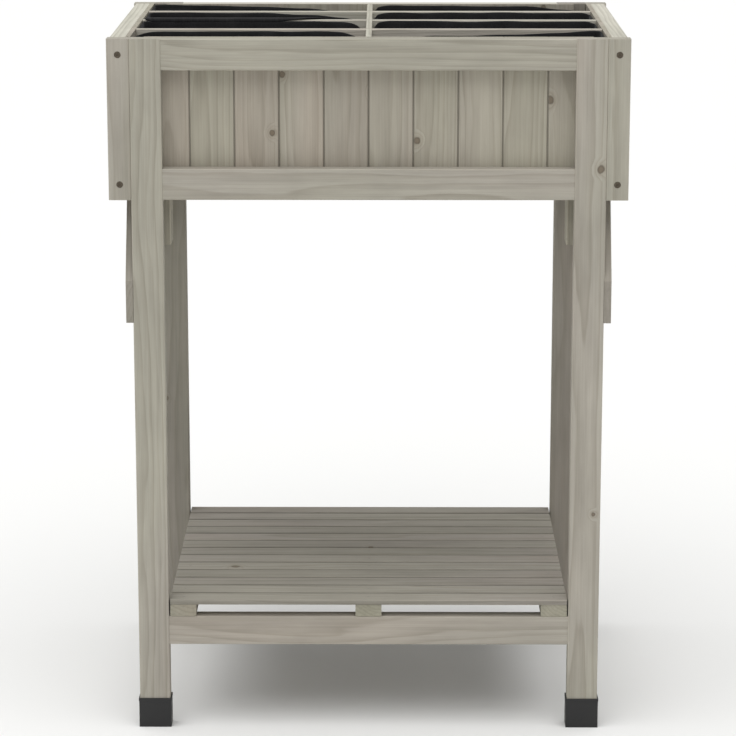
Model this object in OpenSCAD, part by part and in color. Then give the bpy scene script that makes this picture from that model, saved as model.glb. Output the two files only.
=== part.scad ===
// Raised planter on four legs: a boarded box split into eight lined cells, over a slatted shelf.
// Millimetres, +Z up. The origin is on the floor, under the middle of the planter.
// The front is at -Y, and left is at -X.

/* [Overall] */
// Width over the side panels
planter_w = 580; // [480:10:760]
// Depth over the front and back legs
planter_d = 400; // [340:10:540]
// Height of the rim above the floor
planter_h = 800; // [640:10:960]
// Height of the planting box
box_h = 180; // [150:5:240]

/* [Legs and feet] */
// Width of a leg, seen from the front
leg_w = 35; // [30:1:48]
// Thickness of a leg, front to back
leg_t = 20; // [16:1:28]
// Height of a foot cap
cap_h = 35; // [20:1:50]
// Wall of a foot cap
cap_wall = 1.5; // [1:0.1:3]
// Floor of a foot cap, under the leg
cap_floor = 3; // [2:0.5:6]

/* [Corner posts and braces] */
// Width of a corner post, along the front
post_w = 42; // [34:1:54]
// Depth of a corner post, front to back
post_d = 38; // [30:1:50]
// How far a corner post hangs below the box
post_drop = 55; // [35:1:80]
// How far a corner post stops below the rim
post_top_gap = 12; // [8:1:25]
// Width of a slanted brace
brace_w = 35; // [25:1:45]
// Thickness of a slanted brace
brace_t = 8; // [6:1:14]
// Lean of a brace from the vertical, in degrees
brace_lean = 23; // [12:1:30]
// How far a brace reaches below the box
brace_drop = 140; // [110:5:200]
// Height of the upright cut at a brace's foot
brace_foot_cut = 48; // [20:1:60]

/* [Rails and stiles] */
// Height of the rails of all four panels
rail_h = 35; // [28:1:45]
// How far the front and back rails sit behind the faces of the legs
rail_setback = 1; // [0.5:0.5:3]
// Width of a side panel's stile, seen from the front
stile_w = 25; // [22:1:34]
// How far the stiles stand out from the side rails
stile_proud = 2; // [0.5:0.5:4]

/* [Tongue and groove boards] */
// Nominal width of a wall board
board_w = 50; // [40:1:80]
// Thickness of a wall board
board_t = 5; // [4:0.5:8]
// How far the front and back boards run behind the legs
board_lap = 20; // [10:1:28]
// Bevel along the edges of a board's show face
board_bevel = 1.1; // [0.5:0.1:1.5]
// Length of a board's tongue
tongue_l = 4; // [2:0.5:6]

/* [Dividers and floor] */
// Thickness of a divider
divider_t = 7; // [5:0.5:10]
// Spacing of the three cross dividers
divider_pitch = 95; // [70:1:125]
// Thickness of the floor boards
floor_t = 10; // [8:0.5:14]
// Nominal width of a floor board
floor_board_w = 70; // [50:1:100]
// Gap between floor boards, to drain the box
floor_gap = 4.8; // [3:0.2:8]
// Width and height of the bearers under the floor
bearer_s = 18; // [14:1:24]
// Height of the bearers' undersides above the box's lower edge
bearer_lift = 2; // [0:0.5:6]

/* [Shelf] */
// Height of the shelf's top above the floor
shelf_top = 154; // [120:1:260]
// Width of a shelf slat
slat_w = 27; // [20:1:45]
// Thickness of a shelf slat
slat_t = 6; // [5:0.5:12]
// Smallest gap between shelf slats
slat_gap = 3.5; // [2:0.5:8]
// Gap between a slat's end and the legs
slat_end_gap = 1.5; // [1:0.5:5]
// Width of a batten under the slats
batten_w = 30; // [22:1:40]
// Thickness of a batten
batten_t = 14; // [10:1:20]
// Height of a stretcher
stretcher_h = 34; // [26:1:45]

/* [Liner] */
// Thickness of the liner's fabric
liner_t = 1.2; // [0.8:0.1:2]
// How far the liner stops below the rim
liner_drop = 4; // [2:0.5:7]
// Gap between the liner and the wood
liner_gap = 0.6; // [0.3:0.1:1.5]

/* [Fasteners] */
// Diameter of a screw head
screw_head_d = 7.4; // [6:0.2:8]
// Height of a screw head
screw_head_h = 2.4; // [1.8:0.2:3]
// Diameter of a screw's shank
screw_d = 4; // [3:0.2:4.6]
// How deep a screw head sits in the wood
screw_sink = 0.8; // [0.2:0.1:1.5]
// How far a screw bites into the second piece
screw_bite = 13; // [10:1:15]
// Diameter of a dowel
dowel_d = 8; // [6:0.5:10]
// Length of a dowel
dowel_l = 40; // [30:1:44]
// Diameter of a shelf nail
nail_d = 1.6; // [1.2:0.1:2]
// Diameter of a shelf nail's head
nail_head_d = 3.2; // [2.6:0.1:4]

/* [Finish] */
// Radius of the wood's eased edges
edge_r = 1.5; // [0.5:0.1:2.2]
// Running gap between a fastener and its hole
fit = 0.1; // [0.05:0.05:0.2]

/* [Hidden] */
SIDES = ["left", "right"];
$fn = 32;

grey_wood = [0.64, 0.62, 0.57];
pale_wood = [0.72, 0.71, 0.66];
slat_wood = [0.57, 0.55, 0.52];
shade_wood = [0.50, 0.48, 0.44];
plastic_black = [0.12, 0.12, 0.12];
fabric_black = [0.10, 0.10, 0.11];
screw_steel = [0.25, 0.23, 0.21];
dowel_beech = [0.76, 0.66, 0.48];

// Places that several pieces share, all on the +X +Y quarter
half_w = planter_w / 2;
half_d = planter_d / 2;
box_z = planter_h - box_h;
leg_out = half_w - stile_w;
leg_in = leg_out - leg_w;
board_y = half_d - leg_t;
wall_y = board_y - board_t;
rail_x = leg_out + board_t;
top_rail_z = planter_h - rail_h;
floor_z = box_z + bearer_lift + bearer_s;
cell_z = floor_z + floor_t;
post_x = leg_out - post_w;
post_y = wall_y - post_d;
post_z = box_z - post_drop;
post_top = planter_h - post_top_gap;
stretcher_z = shelf_top - slat_t - batten_t - stretcher_h;
batten_z = stretcher_z + stretcher_h;
slat_z = batten_z + batten_t;
slat_half = leg_in - slat_end_gap;
batten_x = slat_half - batten_w / 2;

// Rows of repeated pieces, each spread evenly over the room it has
front_run = 2 * (leg_in + board_lap);
front_count = 2 * round(front_run / board_w / 2);
side_run = 2 * board_y;
side_count = round(side_run / board_w);
slat_count = floor((planter_d + slat_gap) / (slat_w + slat_gap));
slat_step = (planter_d - slat_w) / (slat_count - 1);
floor_run = 2 * (post_x - 1);
floor_count = max(2, round((floor_run + floor_gap) / (floor_board_w + floor_gap)));
floor_fit_w = (floor_run - (floor_count - 1) * floor_gap) / floor_count;

// Fasteners
screw_clear = screw_head_d + 1;
screw_x = leg_in + 10;
leg_screw_z = [post_z + 32, cell_z + 30, post_top - 35];
side_screw_z = [box_z + rail_h / 2 - screw_clear, top_rail_z + screw_head_d];
post_mid_y = post_y + post_d / 2;
stile_mid = leg_out + stile_w / 2;
rail_mid_z = [box_z + rail_h / 2, top_rail_z + rail_h / 2];
dowel_z = concat([stretcher_z + stretcher_h / 2], rail_mid_z);
dowel_y = half_d - leg_t / 2;
leg_screw_l = post_d + board_t + screw_bite - screw_sink;
side_screw_l = post_w + board_t + screw_bite - screw_sink;
stile_screw_l = leg_t + 2 * screw_bite - screw_sink;
brace_screw_l = brace_t + screw_bite - screw_sink;
nail_l = slat_t + batten_t - 4;
slack = 0.3;

// A brace's outline, as [distance behind the leg's face, height]
brace_top = box_z;
brace_foot = box_z - brace_drop;
brace_heel = brace_foot + brace_foot_cut;
brace_run = (brace_top - brace_heel) * tan(brace_lean);
brace_span = brace_w / cos(brace_lean);
brace_outline = [
    [0, brace_foot], [0, brace_heel], [brace_run, brace_top],
    [brace_run + brace_span, brace_top],
    [brace_span - brace_foot_cut * tan(brace_lean), brace_foot]
];
brace_screw_at = [
    [leg_t / 2, brace_heel - 8],
    [leg_t + board_t + post_d / 2, post_z + 38]
];

// Draws its children, mirrored across a plane when on is true
module flip(plane, on) {
    if (on) mirror(plane) children();
    else children();
}

// Moves a piece drawn in the right back corner to any corner
module corner(side, end) {
    flip([1, 0, 0], side == "left") flip([0, 1, 0], end == "front") children();
}

// Rectangle with rounded corners, from its lower left corner
module eased_rect(w, h, r) {
    translate([r, 0]) square([w - 2 * r, h]);
    translate([0, r]) square([w, h - 2 * r]);
    for (x = [r, w - r], y = [r, h - r]) translate([x, y]) circle(r);
}

// Sticks with eased long edges, from their lowest corner; size is [x, y, z]
module upright(size) {
    linear_extrude(size.z) eased_rect(size.x, size.y, edge_r);
}
module along_x(size) {
    rotate([90, 0, 90]) linear_extrude(size.x) eased_rect(size.y, size.z, edge_r);
}
module along_y(size) {
    translate([0, size.y, 0]) rotate([90, 0, 0])
        linear_extrude(size.y) eased_rect(size.x, size.z, edge_r);
}

// A screw that points along +Z, with the top of its head at z = screw_sink
module screw(length) {
    translate([0, 0, screw_sink]) difference() {
        union() {
            cylinder(h = screw_head_h, d = screw_head_d);
            cylinder(h = length, d = screw_d);
        }
        translate([0, 0, -1]) cylinder(h = 1 + screw_head_h * 0.7, d = screw_head_d * 0.5, $fn = 6);
    }
}

// The hole for a screw: a head pocket, and a shank bore
module screw_hole(length) {
    translate([0, 0, -1])
        cylinder(h = 1 + screw_sink + screw_head_h + fit, d = screw_head_d + 2 * fit);
    cylinder(h = length + screw_sink + 1, d = screw_d + 2 * fit);
}

// Where the fasteners of the right back corner go; each module places its children
module at_leg_screws() {
    for (z = leg_screw_z) translate([screw_x, post_y, z]) rotate([-90, 0, 0]) children();
}
module at_side_screws() {
    for (z = side_screw_z) translate([post_x, post_mid_y, z]) rotate([0, 90, 0]) children();
}
module at_stile_screws() {
    for (z = rail_mid_z) translate([stile_mid, half_d, z]) rotate([90, 0, 0]) children();
}
module at_brace_screws() {
    for (p = brace_screw_at)
        translate([leg_out + brace_t, half_d - p.x, p.y]) rotate([0, -90, 0]) children();
}
module at_dowels() {
    for (z = dowel_z)
        translate([leg_in, dowel_y, z]) rotate([0, 90, 0]) children();
}
module dowel_bores() {
    at_dowels() cylinder(h = dowel_l + 2, d = dowel_d + 2 * fit, center = true);
}

// Legs, their caps, the posts behind them and the braces beside them
module leg(side, end) {
    color(grey_wood) corner(side, end) difference() {
        translate([leg_in, board_y, cap_floor]) upright([leg_w, leg_t, planter_h - cap_floor]);
        dowel_bores();
        at_leg_screws() screw_hole(leg_screw_l);
        at_brace_screws() screw_hole(brace_screw_l);
    }
}
module foot_cap(side, end) {
    out = cap_wall + fit;
    color(plastic_black) corner(side, end) difference() {
        translate([leg_in - out, board_y - out, 0])
            linear_extrude(cap_h) eased_rect(leg_w + 2 * out, leg_t + 2 * out, edge_r + out);
        translate([leg_in - fit, board_y - fit, cap_floor])
            linear_extrude(cap_h) eased_rect(leg_w + 2 * fit, leg_t + 2 * fit, edge_r);
    }
}
module corner_post(side, end) {
    color(shade_wood) corner(side, end) difference() {
        translate([post_x, post_y, post_z]) upright([post_w, post_d, post_top - post_z]);
        at_leg_screws() screw_hole(leg_screw_l);
        at_side_screws() screw_hole(side_screw_l);
        at_brace_screws() screw_hole(brace_screw_l);
    }
}
module brace(side, end) {
    color(grey_wood) corner(side, end) difference() {
        translate([leg_out + brace_t, half_d, 0]) rotate([90, 0, -90])
            linear_extrude(brace_t) polygon(brace_outline);
        at_brace_screws() screw_hole(brace_screw_l);
    }
}

// Side panels: stiles at the ends, rails between them
module stile(side, end) {
    color(grey_wood) corner(side, end) difference() {
        translate([leg_out, board_y, box_z]) upright([stile_w, leg_t, box_h]);
        at_stile_screws() screw_hole(stile_screw_l);
    }
}
module side_rail(side, z) {
    thick = stile_w - board_t - stile_proud;
    color(pale_wood) flip([1, 0, 0], side == "left") difference() {
        translate([rail_x, -board_y, z]) along_y([thick, 2 * board_y, rail_h]);
        for (end = ["front", "back"]) corner("right", end) {
            at_stile_screws() screw_hole(stile_screw_l);
            at_side_screws() screw_hole(side_screw_l);
        }
    }
}

// Front and back panels: rails between the legs
module cross_rail(end, z) {
    color(grey_wood) flip([0, 1, 0], end == "front") difference() {
        translate([-leg_in, board_y, z]) along_x([2 * leg_in, leg_t - rail_setback, rail_h]);
        for (side = SIDES) corner(side, "back") dowel_bores();
    }
}

// Outline of one tongue and groove board: x across it, y through it, show face at y = 0
function board_outline(w, tongue) =
    let (g = slack / 2, third = board_t / 3, lip = third - g, back_lip = 2 * third + g)
    concat(
        [[g + board_bevel, 0], [g, board_bevel], [g, lip]],
        [[g + tongue_l + slack, lip], [g + tongue_l + slack, back_lip]],
        [[g, back_lip], [g, board_t], [w - g, board_t], [w - g, 2 * third]],
        tongue ? [[w - g + tongue_l, 2 * third], [w - g + tongue_l, third]] : [],
        [[w - g, third], [w - g, board_bevel], [w - g - board_bevel, 0]]
    );

// A wall of boards that stand side by side along +X, from x = 0
module board_wall(run, count) {
    w = run / count;
    for (i = [0:count - 1])
        translate([i * w, 0, 0])
            linear_extrude(box_h) polygon(board_outline(w, i < count - 1));
}
module cross_boards(end) {
    color(grey_wood) flip([0, 1, 0], end == "back") difference() {
        translate([-front_run / 2, -board_y, box_z]) board_wall(front_run, front_count);
        for (side = SIDES) corner(side, "front") at_leg_screws() screw_hole(leg_screw_l);
    }
}
module side_boards(side) {
    color(grey_wood) flip([1, 0, 0], side == "left") difference() {
        translate([rail_x, -side_run / 2, box_z]) rotate([0, 0, 90])
            board_wall(side_run, side_count);
        for (end = ["front", "back"])
            corner("right", end) at_side_screws() screw_hole(side_screw_l);
    }
}

// Dividers, half lapped where they cross
module centre_divider() {
    tall = planter_h - cell_z;
    color(pale_wood) difference() {
        translate([-divider_t / 2, -wall_y + slack, cell_z])
            along_y([divider_t, 2 * (wall_y - slack), tall]);
        for (y = [-1, 0, 1] * divider_pitch)
            translate([-divider_t, y - divider_t / 2 - fit, cell_z + tall / 2])
                cube([2 * divider_t, divider_t + 2 * fit, tall]);
    }
}
module cross_divider(y) {
    tall = planter_h - cell_z;
    color(pale_wood) difference() {
        translate([-leg_out + slack, y - divider_t / 2, cell_z])
            along_x([2 * (leg_out - slack), divider_t, tall]);
        translate([-divider_t / 2 - fit, y - divider_t, cell_z - tall / 2])
            cube([divider_t + 2 * fit, 2 * divider_t, tall]);
    }
}

// Floor of the box: bearers round the foot of the walls, boards across them
module cross_bearer(end) {
    color(shade_wood) flip([0, 1, 0], end == "front")
        translate([-post_x + slack, wall_y - bearer_s, box_z + bearer_lift])
            along_x([2 * (post_x - slack), bearer_s, bearer_s]);
}
module side_bearer(side) {
    color(shade_wood) flip([1, 0, 0], side == "left")
        translate([leg_out - bearer_s, -post_y + slack, box_z + bearer_lift])
            along_y([bearer_s, 2 * (post_y - slack), bearer_s]);
}
module floor_boards() {
    color(shade_wood) {
        for (i = [0:floor_count - 1])
            translate([-floor_run / 2 + i * (floor_fit_w + floor_gap), -wall_y + slack, floor_z])
                along_y([floor_fit_w, 2 * (wall_y - slack), floor_t]);
        for (side = SIDES) flip([1, 0, 0], side == "left")
            translate([post_x + 1, -post_y + slack, floor_z])
                along_y([post_w - 2, 2 * (post_y - slack), floor_t]);
    }
}

// Shelf: stretchers between the legs, battens on them, slats on the battens
module stretcher(end) {
    color(grey_wood) flip([0, 1, 0], end == "front") difference() {
        translate([-leg_in, board_y, stretcher_z])
            along_x([2 * leg_in, leg_t - rail_setback, stretcher_h]);
        for (side = SIDES) corner(side, "back") dowel_bores();
    }
}
module at_shelf_nails() {
    for (x = [-1, 0, 1] * batten_x, i = [0:slat_count - 1])
        translate([x, -half_d + slat_w / 2 + i * slat_step, shelf_top]) children();
}
module nail() {
    translate([0, 0, -nail_l]) cylinder(h = nail_l, d = nail_d, $fn = 16);
    translate([0, 0, -0.8]) cylinder(h = 0.8, d = nail_head_d, $fn = 16);
}
module nail_hole() {
    translate([0, 0, -nail_l - 0.5]) cylinder(h = nail_l + 1, d = nail_d + fit, $fn = 16);
    translate([0, 0, -0.85]) cylinder(h = 2, d = nail_head_d + fit, $fn = 16);
}
module shelf_batten(x) {
    color(shade_wood) difference() {
        translate([x - batten_w / 2, -half_d + rail_setback, batten_z])
            along_y([batten_w, planter_d - 2 * rail_setback, batten_t]);
        at_shelf_nails() nail_hole();
    }
}
module shelf_slats() {
    color(slat_wood) difference() {
        for (i = [0:slat_count - 1])
            translate([-slat_half, -half_d + i * slat_step, slat_z])
                along_x([2 * slat_half, slat_w, slat_t]);
        at_shelf_nails() nail_hole();
    }
}

// Plan of a cell at the right and back, shrunk by gap; the outer row steps round the post
module cell_plan(outer, gap, step) {
    near = (outer ? divider_pitch : 0) + divider_t / 2;
    far = outer ? wall_y : divider_pitch - divider_t / 2;
    x = divider_t / 2;
    difference() {
        translate([x + gap, near + gap]) square([leg_out - x - 2 * gap, far - near - 2 * gap]);
        if (outer && step) translate([post_x - gap, post_y - gap]) square([2 * post_w, 2 * post_d]);
    }
}

// A fabric pocket that fills a cell, open at the top; above the post it covers the whole cell
module pocket(side, end, outer) {
    inner = liner_gap + liner_t;
    ledge = post_top + liner_gap;
    top = planter_h - liner_drop;
    color(fabric_black) corner(side, end) difference() {
        union() {
            translate([0, 0, cell_z + slack])
                linear_extrude(top - cell_z - slack) cell_plan(outer, liner_gap, true);
            translate([0, 0, ledge]) linear_extrude(top - ledge) cell_plan(outer, liner_gap, false);
        }
        translate([0, 0, cell_z + slack + liner_t])
            linear_extrude(box_h) cell_plan(outer, inner, true);
        translate([0, 0, ledge + liner_t]) linear_extrude(box_h) cell_plan(outer, inner, false);
    }
}

// Fasteners, each kind a group of separate solids
module every_corner() {
    for (side = SIDES, end = ["front", "back"]) corner(side, end) children();
}
module stile_screws() {
    color(screw_steel) every_corner() at_stile_screws() screw(stile_screw_l);
}
module post_screws() {
    color(screw_steel) every_corner() {
        at_leg_screws() screw(leg_screw_l);
        at_side_screws() screw(side_screw_l);
    }
}
module brace_screws() {
    color(screw_steel) every_corner() at_brace_screws() screw(brace_screw_l);
}
module shelf_nails() {
    color(screw_steel) at_shelf_nails() nail();
}
module dowels() {
    color(dowel_beech) every_corner() at_dowels() cylinder(h = dowel_l, d = dowel_d, center = true);
}

leg("left", "front");  // leg_front_left
leg("right", "front");  // leg_front_right
leg("left", "back");  // leg_back_left
leg("right", "back");  // leg_back_right
foot_cap("left", "front");  // foot_cap_front_left
foot_cap("right", "front");  // foot_cap_front_right
foot_cap("left", "back");  // foot_cap_back_left
foot_cap("right", "back");  // foot_cap_back_right
corner_post("left", "front");  // corner_post_front_left
corner_post("right", "front");  // corner_post_front_right
corner_post("left", "back");  // corner_post_back_left
corner_post("right", "back");  // corner_post_back_right
brace("left", "front");  // brace_front_left
brace("right", "front");  // brace_front_right
brace("left", "back");  // brace_back_left
brace("right", "back");  // brace_back_right
stile("left", "front");  // stile_front_left
stile("right", "front");  // stile_front_right
stile("left", "back");  // stile_back_left
stile("right", "back");  // stile_back_right
cross_rail("front", top_rail_z);  // front_top_rail
cross_rail("front", box_z);  // front_bottom_rail
cross_rail("back", top_rail_z);  // back_top_rail
cross_rail("back", box_z);  // back_bottom_rail
side_rail("left", top_rail_z);  // left_top_rail
side_rail("left", box_z);  // left_bottom_rail
side_rail("right", top_rail_z);  // right_top_rail
side_rail("right", box_z);  // right_bottom_rail
cross_boards("front");  // front_boards
cross_boards("back");  // back_boards
side_boards("left");  // left_boards
side_boards("right");  // right_boards
centre_divider();
cross_divider(-divider_pitch);  // cross_divider_front
cross_divider(0);  // cross_divider_middle
cross_divider(divider_pitch);  // cross_divider_back
cross_bearer("front");  // floor_bearer_front
cross_bearer("back");  // floor_bearer_back
side_bearer("left");  // floor_bearer_left
side_bearer("right");  // floor_bearer_right
floor_boards();
stretcher("front");  // front_stretcher
stretcher("back");  // back_stretcher
shelf_batten(-batten_x);  // shelf_batten_left
shelf_batten(0);  // shelf_batten_centre
shelf_batten(batten_x);  // shelf_batten_right
shelf_slats();
pocket("left", "front", true);  // liner_row1_left
pocket("right", "front", true);  // liner_row1_right
pocket("left", "front", false);  // liner_row2_left
pocket("right", "front", false);  // liner_row2_right
pocket("left", "back", false);  // liner_row3_left
pocket("right", "back", false);  // liner_row3_right
pocket("left", "back", true);  // liner_row4_left
pocket("right", "back", true);  // liner_row4_right
stile_screws();
post_screws();
brace_screws();
shelf_nails();
dowels();
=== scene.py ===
# %% [markdown]
# # A raised planter on legs
# A boarded box of grey-washed softwood stands on four legs, over a slatted shelf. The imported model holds
# every board at its true size. This script gives the wood, plastic and steel their finish, and makes what
# is soft or moulded anew: the eight fabric pockets, the foot caps and the screws.

# %% Load the frame
import math

import bmesh
import bpy
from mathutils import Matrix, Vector, noise


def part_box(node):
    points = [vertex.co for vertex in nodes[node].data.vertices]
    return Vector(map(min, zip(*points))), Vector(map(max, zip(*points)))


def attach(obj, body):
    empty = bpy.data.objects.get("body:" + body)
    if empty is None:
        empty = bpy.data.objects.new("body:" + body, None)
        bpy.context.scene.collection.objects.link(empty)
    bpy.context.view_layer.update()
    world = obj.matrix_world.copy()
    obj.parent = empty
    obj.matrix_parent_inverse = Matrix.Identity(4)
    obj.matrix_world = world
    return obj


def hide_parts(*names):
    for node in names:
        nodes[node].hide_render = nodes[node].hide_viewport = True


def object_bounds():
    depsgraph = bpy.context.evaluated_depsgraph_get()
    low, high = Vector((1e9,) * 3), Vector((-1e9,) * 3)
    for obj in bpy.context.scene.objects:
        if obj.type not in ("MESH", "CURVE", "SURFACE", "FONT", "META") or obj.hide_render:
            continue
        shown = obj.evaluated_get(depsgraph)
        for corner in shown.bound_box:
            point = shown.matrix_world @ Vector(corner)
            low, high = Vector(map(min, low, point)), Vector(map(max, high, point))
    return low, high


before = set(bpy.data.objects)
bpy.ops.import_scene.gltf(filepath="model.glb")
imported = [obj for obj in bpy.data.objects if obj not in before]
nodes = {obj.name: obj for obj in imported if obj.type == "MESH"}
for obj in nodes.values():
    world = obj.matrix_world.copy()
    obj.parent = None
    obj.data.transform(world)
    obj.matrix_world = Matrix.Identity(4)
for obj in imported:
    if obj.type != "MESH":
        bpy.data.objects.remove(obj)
cad_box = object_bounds()
low, high = cad_box
middle = (low + high) / 2
scene = bpy.context.scene
print("nodes:", len(nodes), "size:", [round(s, 3) for s in high - low])

# %% [markdown]
# ## Camera
# A long lens a few metres away keeps the legs nearly parallel. It stands a little above the rim and looks
# down at the middle of the planter, so that the shelf shows below and the cells can be seen into.

# %% The camera
LENS_MM = 144.5
CAMERA_AWAY = 3.456
CAMERA_UP = 1.173
CAMERA_RIGHT = 0.0157
LOOK_DOWN = math.radians(12.886)
LOOK_LEFT = math.radians(0.286)
CAMERA_REACH = 50

camera_data = bpy.data.cameras.new("camera")
camera_data.lens = LENS_MM
camera_data.clip_end = CAMERA_REACH
camera = bpy.data.objects.new("camera", camera_data)
scene.collection.objects.link(camera)
camera.location = (middle.x + CAMERA_RIGHT, -CAMERA_AWAY, CAMERA_UP)
camera.rotation_euler = (math.pi / 2 - LOOK_DOWN, 0, LOOK_LEFT)
scene.camera = camera
scene.view_settings.view_transform = "Standard"
print("camera at", [round(c, 3) for c in camera.location])

# %% [markdown]
# ## Floor and light
# A pale floor meets a sky that is white at the horizon, as a studio's curved wall is, and dimmer overhead.
# The main light is a very wide one high above. It lights the rim more than the front, and leaves the inside
# of the frame and the grooves dark.

# %% The floor and the lights
FLOOR_SIZE = 30
SKY_HORIZON = 1.0
SKY_OVERHEAD = 0.36
SKY_FADE = 0.4
OVERHEAD_STRENGTH = 2.9
OVERHEAD_WIDTH = math.radians(80)
OVERHEAD_LEAN = math.radians(16)
OVERHEAD_SIDE = math.radians(20)
FLOOR_COLOUR = (0.8, 0.8, 0.79, 1)
FLOOR_ROUGHNESS = 0.9


def new_material(name):
    """A material, with its net of nodes and its main shader."""
    material = bpy.data.materials.new(name)
    material.use_nodes = True
    tree = material.node_tree
    return material, tree, tree.nodes["Principled BSDF"]


bpy.ops.mesh.primitive_plane_add(size=FLOOR_SIZE, location=(0, 0, low.z))
floor = bpy.context.object
floor.name = "floor"
floor_paint, _, floor_shader = new_material("pale_floor")
floor_shader.inputs["Base Color"].default_value = FLOOR_COLOUR
floor_shader.inputs["Roughness"].default_value = FLOOR_ROUGHNESS
floor.data.materials.append(floor_paint)

world = bpy.data.worlds.new("sky")
world.use_nodes = True
sky_net = world.node_tree
sky = sky_net.nodes["Background"]
sky.inputs["Color"].default_value = (1, 1, 1, 1)
way = sky_net.nodes.new("ShaderNodeTexCoord")
parts = sky_net.nodes.new("ShaderNodeSeparateXYZ")
height = sky_net.nodes.new("ShaderNodeMapRange")
height.inputs["From Max"].default_value = SKY_FADE
height.inputs["To Min"].default_value = SKY_HORIZON
height.inputs["To Max"].default_value = SKY_OVERHEAD
sky_net.links.new(way.outputs["Generated"], parts.inputs[0])
sky_net.links.new(parts.outputs["Z"], height.inputs["Value"])
sky_net.links.new(height.outputs[0], sky.inputs["Strength"])
scene.world = world

overhead_data = bpy.data.lights.new("overhead", "SUN")
overhead_data.energy = OVERHEAD_STRENGTH
overhead_data.angle = OVERHEAD_WIDTH
overhead = bpy.data.objects.new("overhead", overhead_data)
overhead.rotation_euler = (OVERHEAD_LEAN, 0, -OVERHEAD_SIDE)
scene.collection.objects.link(overhead)
print("overhead light:", overhead_data.energy, "sky:", SKY_HORIZON, "to", SKY_OVERHEAD)

# %% [markdown]
# ## A small kit for materials
# Every finish below is a net of shader nodes. These helpers add a node and wire it in one line, so that a
# finish reads like a recipe.


# %% Helpers that add and wire shader nodes
def add(tree, kind, inputs=None, **settings):
    """Adds a node. inputs maps a socket's name or number to a value or to another node's output."""
    made = tree.nodes.new(kind)
    for name, value in settings.items():
        setattr(made, name, value)
    for socket, value in (inputs or {}).items():
        if isinstance(value, bpy.types.NodeSocket):
            tree.links.new(value, made.inputs[socket])
        else:
            made.inputs[socket].default_value = value
    return made


def calc(tree, operation, *values):
    """A Math node's result."""
    return add(tree, "ShaderNodeMath", dict(enumerate(values)), operation=operation).outputs[0]


def vector_calc(tree, operation, *values):
    """A Vector Math node's result."""
    made = add(tree, "ShaderNodeVectorMath", dict(enumerate(values)), operation=operation)
    return made.outputs["Value" if operation == "LENGTH" else "Vector"]


def remap(tree, value, low_in, high_in, low_out=0.0, high_out=1.0):
    """Moves a value smoothly from one range to another, and holds it at the ends."""
    made = add(tree, "ShaderNodeMapRange", {0: value, 1: low_in, 2: high_in, 3: low_out, 4: high_out})
    made.interpolation_type = "SMOOTHSTEP"
    return made.outputs[0]


def grain_noise(tree, vector, across, along, detail=3.0):
    """Noise of so many lumps to the metre across the grain (X, Y) and along it (Z), about 0.5."""
    scaled = vector_calc(tree, "MULTIPLY", vector, (across, across, along))
    made = add(tree, "ShaderNodeTexNoise", {"Vector": scaled, "Scale": 1.0, "Detail": detail})
    return made.outputs["Fac"]


def blend_colour(tree, amount, first, second, blend="MIX"):
    """A Mix Color node's result; amount 0 is the first colour."""
    made = add(tree, "ShaderNodeMix", data_type="RGBA", blend_type=blend)
    for socket, value in ((0, amount), (6, first), (7, second)):
        if isinstance(value, bpy.types.NodeSocket):
            tree.links.new(value, made.inputs[socket])
        else:
            made.inputs[socket].default_value = value
    return made.outputs[2]


def paint(red, green, blue):
    """A colour from a 0 to 255 paint card, as the linear colour that shaders use."""
    def linear(v):
        return v / 12.92 if v <= 0.04045 else ((v + 0.055) / 1.055) ** 2.4

    return (*(linear(c / 255) for c in (red, green, blue)), 1.0)


def bumpy(tree, shader, height, strength, distance):
    """Lets a height in the net raise the surface by up to so many metres."""
    bump = add(tree, "ShaderNodeBump", {"Strength": strength, "Distance": distance, "Height": height})
    tree.links.new(bump.outputs[0], shader.inputs["Normal"])


print("paint(165, 160, 148) is", [round(c, 3) for c in paint(165, 160, 148)])

# %% [markdown]
# ## Grey-washed softwood
# Real wood is a solid pattern: growth rings stand round the pith like pipes, and each board is cut out of
# them somewhere. So the finish works out how far a point lies from a wandering pith. Rings, knots and the
# pointed figures on flat-sawn boards, and rings on the end grain too, then follow from one recipe. It is a
# node group, and each board has its own seed. Over the rings come fibres, a blotchy grey wash, paler rubbed
# edges that are partly a painted highlight, and painted shade in the grooves between boards.

# %% The wood's node group
SEED_SPREAD = 37.0
RING_WIDTH = 0.0030
KNOT_CELL = (0.052, 0.17)
RING_COLOUR = paint(112, 105, 90)
HALO_COLOUR = paint(128, 118, 100)
KNOT_COLOUR = paint(106, 94, 79)
KNOT_RIM = paint(72, 62, 52)
# paler edges: partly rubbed wear, partly a painted highlight on the eased corners
RUBBED_AND_PAINTED_HIGHLIGHT = paint(184, 178, 164)
# painted shade in the grooves between boards
GROOVE_PAINTED_SHADE = paint(58, 54, 46)
GREENISH = (0.98, 1.0, 0.965, 1)
REDDISH = (1.0, 0.965, 0.952, 1)


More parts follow.
